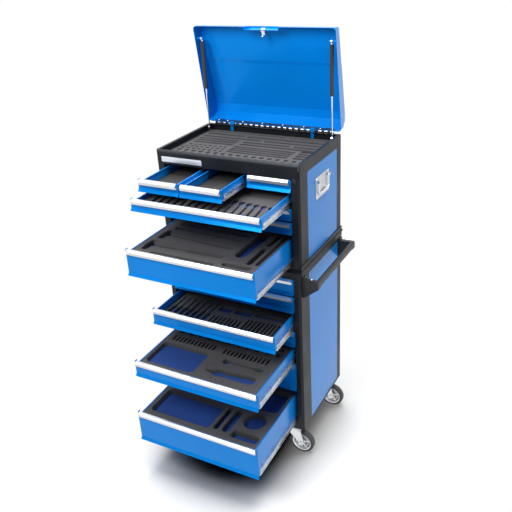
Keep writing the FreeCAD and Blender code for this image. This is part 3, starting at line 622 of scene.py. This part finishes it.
# Turned profiles in millimetres: radius and height
PAN_SCREW = [(0, 0), (3.6, 0), (3.6, 0.8), (3.0, 1.6), (1.8, 2.1), (1.6, 1.2), (0.6, 1.2), (0, 1.2)]
LOCK_BARREL = [(0, 1.0), (4, 1.2), (4.4, 2.6), (9.5, 3.0), (11.5, 1.6), (11.5, 0), (9, -1.4), (9, -24),
               (5, -25), (5, -29), (0, -29)]
LOCK_NUT = [(9.2, -4), (13, -4), (13, -8), (9.2, -8)]
DRAWER_LOCK = [(0, 1.6), (4.6, 1.6), (5, 2.4), (7.6, 2.6), (8.6, 1.6), (8.6, 0)]
HANDLE_RIVET = [(0, 1.5), (2.0, 1.2), (3.4, 0.4), (3.5, 0)]
SLIDE_RIVET = [(0, 1.4), (2.2, 1.2), (3.6, 0.3), (3.6, 0)]
HEX_BOLT = [(0, 3.4), (4.6, 3.4), (5.6, 2.8), (5.6, 0)]
RIM_RING = [(30, 5.6), (30.5, 8.2), (33, 8.6), (34, 6.0)]


def turned(mesh, profile, matrix, steps=32, scale=1.0):
    add_lathe(mesh, [(r * scale * MM, h * scale * MM) for r, h in profile], matrix, steps)


def screw(mesh, matrix, scale):
    turned(mesh, PAN_SCREW, matrix, 20, scale)


def make_hinge_furniture():
    strip = bmesh.new()
    facing = place((0, INNER_BACK, 0), *FACING_FRONT)
    plan = round_box(-STRIP_HALF, STRIP_LOW, STRIP_HALF, STRIP_HIGH, 2 * MM)
    add_prism(strip, plan, 0, STRIP_T, LID_TURN @ facing, 0.3 * MM)
    make_piece("hinge_backing_strip", strip, MATERIALS["black_steel"], "lid")
    screws = bmesh.new()
    for x in HINGE_SCREW_X:
        screw(screws, LID_TURN @ place((x * MM, INNER_BACK - STRIP_T, 1524 * MM), *FACING_FRONT), 1.1)
    make_piece("hinge_screws", screws, MATERIALS["chrome"], "lid")


def make_lid_lock():
    lock = bmesh.new()
    barrel = LID_TURN @ place(LID_LOCK_AT, *FACING_FRONT)
    turned(lock, LOCK_BARREL, barrel)
    turned(lock, LOCK_NUT, barrel, 6)
    cam = round_box(-7 * MM, -20 * MM, 7 * MM, 9 * MM, 5 * MM)
    add_prism(lock, cam, -27.5 * MM, -25 * MM, barrel, 0.4 * MM)
    make_piece("lid_lock", lock, MATERIALS["chrome"], "lid")
    # A thin black piece on the barrel's face stands for the keyhole: painted shade where the slot would be,
    # with no slot cut.
    key = bmesh.new()
    keyhole = round_box(-0.8 * MM, -3.4 * MM, 0.8 * MM, 3.4 * MM, 0.6 * MM)
    add_prism(key, keyhole, 1.1 * MM, 1.5 * MM, barrel)
    make_piece("lid_lock_slot_shade", key, MATERIALS["black_steel"], "lid")


# Small furniture of the cabinets
CHEST_FRONT = -225 * MM
LEVER_X = (-215, 213)
LEVER_Y = 234 * MM
LEVER_T = 2.0 * MM
HANDLE_PLATE_X = 351.5 * MM
HANDLE_RIVET_Y = (-50, 82)
HANDLE_RIVET_Z = (1306, 1386)
BRACKET_X = 358 * MM
BRACKET_Y = (-206, 229)
BRACKET_SCREW_Z = (906, 924)
GRIP_SCREW_X = 388 * MM
GRIP_SCREW_Z = 986.5 * MM


def make_front_furniture():
    badge = bmesh.new()
    plate = round_box(-321 * MM, 1456 * MM, -112 * MM, 1480 * MM, 3 * MM)
    add_prism(badge, plate, 0, 1.2 * MM, place((0, CHEST_FRONT, 0), *FACING_FRONT), 0.5 * MM)
    make_piece("bare_badge", badge, BARE_PLATE, "cabinets")
    lock = bmesh.new()
    turned(lock, DRAWER_LOCK, place((327 * MM, CHEST_FRONT, 1438 * MM), *FACING_FRONT))
    make_piece("drawer_lock", lock, MATERIALS["black_steel"], "cabinets")


def make_lock_levers():
    tabs = bmesh.new()
    for x in LEVER_X:
        stem = [(x - 8, 1478), (x + 8, 1478), (x + 9, 1512), (x + 12, 1516), (x + 12, 1524), (x + 7, 1527),
                (x - 7, 1527), (x - 12, 1524), (x - 12, 1516), (x - 9, 1512)]
        outline = [(a * MM, b * MM) for a, b in stem]
        add_prism(tabs, outline, 0, LEVER_T, place((0, LEVER_Y, 0), *FACING_FRONT), 0.5 * MM)
    make_piece("lock_levers", tabs, MATERIALS["blue_paint"], "cabinets")


def make_handle_furniture():
    rivets = bmesh.new()
    for side, facing in ((1, FACING_RIGHT), (-1, FACING_LEFT)):
        for y in HANDLE_RIVET_Y:
            for z in HANDLE_RIVET_Z:
                turned(rivets, HANDLE_RIVET, place((side * HANDLE_PLATE_X, y * MM, z * MM), *facing), 20)
    make_piece("handle_rivets", rivets, MATERIALS["chrome"], "cabinets")

    screws = bmesh.new()
    for y in BRACKET_Y:
        for z in BRACKET_SCREW_Z:
            screw(screws, place((BRACKET_X, y * MM, z * MM), *FACING_RIGHT), 1.3)
        screw(screws, place((GRIP_SCREW_X, y * MM, GRIP_SCREW_Z), *FACING_UP), 1.4)
    make_piece("push_handle_screws", screws, MATERIALS["zinc_steel"], "cabinets")


# Casters: bolts and the ribs of the rims, places in millimetres
CASTER_X = (-290, 290)
CASTER_ROWS = (("front", -212), ("rear", 185))
WHEEL_X = (("right", 328), ("left", -290))
AXLE_Z = 62.5
PLATE_UNDERSIDE = 151
BOLT_X = (-38, 38)
BOLT_Y = (-20, 20)
SPOKES = 5
FACING_REAR = ((-1, 0, 0), (0, 0, 1))


def make_caster_furniture():
    bolts = bmesh.new()
    for x in CASTER_X:
        for row, y in CASTER_ROWS:
            for dx in BOLT_X:
                for dy in BOLT_Y:
                    at = ((x + dx) * MM, (y + dy) * MM, PLATE_UNDERSIDE * MM)
                    turned(bolts, HEX_BOLT, place(at, (1, 0, 0), (0, -1, 0)), 6)
    make_piece("caster_bolts", bolts, MATERIALS["zinc_steel"], "cabinets", 20.0)
    for side, x in WHEEL_X:
        for row, y in CASTER_ROWS:
            ribs = bmesh.new()
            for facing in (FACING_FRONT, FACING_REAR):
                hub = place((x * MM, y * MM, AXLE_Z * MM), *facing)
                turned(ribs, RIM_RING, hub, 40)
                for k in range(SPOKES):
                    spin = hub @ Matrix.Rotation(2 * math.pi * k / SPOKES, 4, "Z")
                    arm = [(-4 * MM, 11 * MM), (4 * MM, 11 * MM), (2.6 * MM, 41 * MM), (-2.6 * MM, 41 * MM)]
                    add_prism(ribs, arm, 5.0 * MM, 9.4 * MM, spin, 0.8 * MM)
            make_piece("wheel_ribs_%s_%s" % (side, row), ribs, RIM_METAL, "wheel_%s_%s" % (side, row))


# Release levers and rivets in the drawers' slides
SLIDE_TALL_CHEST = 26
SLIDE_TALL_TROLLEY = 32
SLIDE_WEB = 11.5 * MM
SLIDE_START = 9 * MM
RELEASE_START = 228 * MM
SLIDE_RIVET_Y = (40, 150, 425)
RELEASE_LEVER = [(0, -3.2), (30, -3.4), (44, -6.4), (66, -6.4), (74, -3.0), (120, -3.0), (120, 3.0),
                 (74, 3.0), (66, 6.0), (44, 6.0), (30, 3.4), (0, 3.2)]


def make_slide_furniture():
    for body in frame["bodies"]:
        if "_drawer_" not in body:
            continue
        low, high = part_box(body)
        tall = SLIDE_TALL_TROLLEY if body.startswith("trolley") else SLIDE_TALL_CHEST
        z = low[2] + tall / 2 * MM
        levers = bmesh.new()
        rivets = bmesh.new()
        for side, facing in ((1, FACING_RIGHT), (-1, FACING_LEFT)):
            web = (high[0] if side > 0 else low[0]) - side * SLIDE_WEB
            start = low[1] + SLIDE_START
            outline = [(side * a * MM, b * MM) for a, b in RELEASE_LEVER]
            if side < 0:
                outline.reverse()
            add_prism(levers, outline, 0.2 * MM, 2.6 * MM, place((web, start + RELEASE_START, z), *facing),
                      0.5 * MM)
            for y in SLIDE_RIVET_Y:
                turned(rivets, SLIDE_RIVET, place((web, start + y * MM, z), *facing), 16)
        make_piece(body + "_release_levers", levers, MATERIALS["black_plastic"], body)
        make_piece(body + "_slide_rivets", rivets, MATERIALS["chrome"], body)


# Floor, backdrop and lights
FLOOR_SIZE = 60.0
FOOT_MIDDLE = (-0.05, -0.2, 0.0)
FOOT_HALF = (0.22, 0.4, 0.0)
OPEN_FLOOR = (0.05, 0.6)
FLOOR_ROUGHNESS = 0.9
FLOOR_SHADE = (0.95, 0.95, 0.95)
# how far, how deep and how finely the shadow painted into the floor's colour reaches
PAINTED_SHADOW_REACH = 0.5
PAINTED_SHADOW_SPAN = (0.33, 0.8)
PAINTED_SHADOW_SAMPLES = 32
SOFT_LIGHT = 0.10


def most(tree, first, second):
    made = node(tree, "ShaderNodeMath", operation="MAXIMUM")
    tree.links.new(first, made.inputs[0])
    tree.links.new(second, made.inputs[1])
    return made.outputs[0]


def white_share(tree, share=None):
    """1 where seen in a reflection or through glass, share of it where seen straight, 0 where it lights."""
    rays = node(tree, "ShaderNodeLightPath")
    straight = rays.outputs["Is Camera Ray"]
    if share is not None:
        part = node(tree, "ShaderNodeMath", operation="MULTIPLY")
        tree.links.new(straight, part.inputs[0])
        tree.links.new(share, part.inputs[1])
        straight = part.outputs[0]
    indirect = most(tree, rays.outputs["Is Glossy Ray"], rays.outputs["Is Transmission Ray"])
    return most(tree, straight, indirect)


def make_stage():
    material, tree, shader = new_material("white_floor")
    shader.inputs["Roughness"].default_value = FLOOR_ROUGHNESS
    shader.inputs["Specular IOR Level"].default_value = 0.0
    mesh = bpy.data.meshes.new("floor")
    half = FLOOR_SIZE / 2
    corners = [(-half, -half, 0), (half, -half, 0), (half, half, 0), (-half, half, 0)]
    mesh.from_pydata(corners, [], [(0, 1, 2, 3)])
    mesh.materials.append(material)
    floor = bpy.data.objects.new("floor", mesh)
    bpy.context.scene.collection.objects.link(floor)

    # a matt floor with a painted shadow: its colour darkens where it lies close under something
    closeness = node(tree, "ShaderNodeAmbientOcclusion", samples=PAINTED_SHADOW_SAMPLES)
    closeness.inputs["Distance"].default_value = PAINTED_SHADOW_REACH
    outside_painted_shadow = ramp(tree, closeness.outputs["AO"], 0.0, 1.0, *PAINTED_SHADOW_SPAN)
    tree.links.new(colours(tree, outside_painted_shadow, (0.0, 0.0, 0.0), FLOOR_SHADE), shader.inputs["Base Color"])

    # lit as any floor near the object, so that its shadow shows, and plain white further out
    place_node = node(tree, "ShaderNodeTexCoord")
    spot = place_node.outputs["Object"]
    for operation, vector in (("SUBTRACT", FOOT_MIDDLE), ("ABSOLUTE", None), ("SUBTRACT", FOOT_HALF),
                              ("MAXIMUM", (0, 0, 0)), ("LENGTH", None)):
        step = node(tree, "ShaderNodeVectorMath", operation=operation)
        tree.links.new(spot, step.inputs[0])
        if vector:
            step.inputs[1].default_value = vector
        spot = step.outputs["Value" if operation == "LENGTH" else "Vector"]
    far = ramp(tree, spot, 0.0, 1.0, *OPEN_FLOOR)
    glow = node(tree, "ShaderNodeEmission")
    glow.inputs["Color"].default_value = (1, 1, 1, 1)
    glow.inputs["Strength"].default_value = 1.0
    either = node(tree, "ShaderNodeMixShader")
    tree.links.new(white_share(tree, far), either.inputs["Fac"])
    tree.links.new(shader.outputs[0], either.inputs[1])
    tree.links.new(glow.outputs[0], either.inputs[2])
    tree.links.new(either.outputs[0], tree.nodes["Material Output"].inputs["Surface"])


def make_world():
    world = bpy.data.worlds.new("studio")
    bpy.context.scene.world = world
    world.use_nodes = True
    tree = world.node_tree
    light = tree.nodes["Background"]
    light.inputs["Color"].default_value = (1, 1, 1, 1)
    light.inputs["Strength"].default_value = SOFT_LIGHT
    white = node(tree, "ShaderNodeBackground")
    white.inputs["Color"].default_value = (1, 1, 1, 1)
    white.inputs["Strength"].default_value = 1.0
    mix = node(tree, "ShaderNodeMixShader")
    tree.links.new(white_share(tree), mix.inputs["Fac"])
    tree.links.new(light.outputs[0], mix.inputs[1])
    tree.links.new(white.outputs[0], mix.inputs[2])
    tree.links.new(mix.outputs[0], tree.nodes["World Output"].inputs["Surface"])


def area_lamp(name, at, look, size, power):
    data = bpy.data.lights.new(name, "AREA")
    data.shape = "RECTANGLE"
    data.size, data.size_y = size
    data.energy = power
    lamp = bpy.data.objects.new(name, data)
    lamp.location = at
    lamp.rotation_euler = (Vector(look) - Vector(at)).to_track_quat("-Z", "Y").to_euler()
    bpy.context.scene.collection.objects.link(lamp)


def make_lights():
    area_lamp("overhead", (0.1, 0.3, 4.4), (0, -0.1, 0.6), (3.2, 3.2), 240.0)
    area_lamp("front", (-0.8, -3.0, 4.0), (0, 0, 1.7), (1.8, 1.8), 152.0)
    area_lamp("right", (4.6, 0.2, 1.6), (0.3, 0, 0.9), (2.0, 2.0), 44.0)


bpy.context.scene.view_settings.view_transform = "Standard"
make_camera()
dress_nodes()
make_inlays()
make_liners()
make_hinge_furniture()
make_lid_lock()
make_front_furniture()
make_lock_levers()
make_handle_furniture()
make_caster_furniture()
make_slide_furniture()
make_stage()
make_world()
make_lights()
